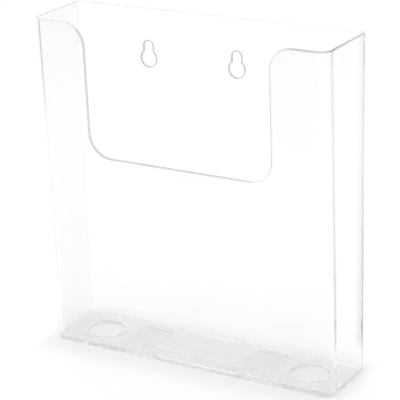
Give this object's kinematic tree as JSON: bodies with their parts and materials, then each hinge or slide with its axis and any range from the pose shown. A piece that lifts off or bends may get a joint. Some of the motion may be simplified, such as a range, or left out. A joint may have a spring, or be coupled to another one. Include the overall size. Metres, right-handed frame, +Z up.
{
  "type": "magazine rack",
  "caption": "Clear plastic wall pocket for A4 magazines, with a leaning front, a finger cut-out and keyhole slots in the back.",
  "frame": {"origin": "middle of the overall width and depth, on the surface the rack stands on", "axes": "+X to the right seen from the front, +Y towards the wall the rack hangs on, +Z up"},
  "size_m": [0.235, 0.062, 0.253],
  "materials": {
    "clear_panel": "crystal clear, polished",
    "clear_base": "crystal clear, polished",
    "ribbed_clear": "clear with fine ridges, slightly frosted"
  },
  "bodies": {
    "root": {"front_panel": "clear_panel", "left_side": "clear_panel", "right_side": "clear_panel", "back_panel": "clear_panel", "base_plate": "clear_base", "centre_plaque": "clear_base", "ribbed_pad_left": "ribbed_clear", "ribbed_pad_right": "ribbed_clear", "stop_rib_left": "clear_base", "stop_rib_right": "clear_base"}
  },
  "joints": []
}
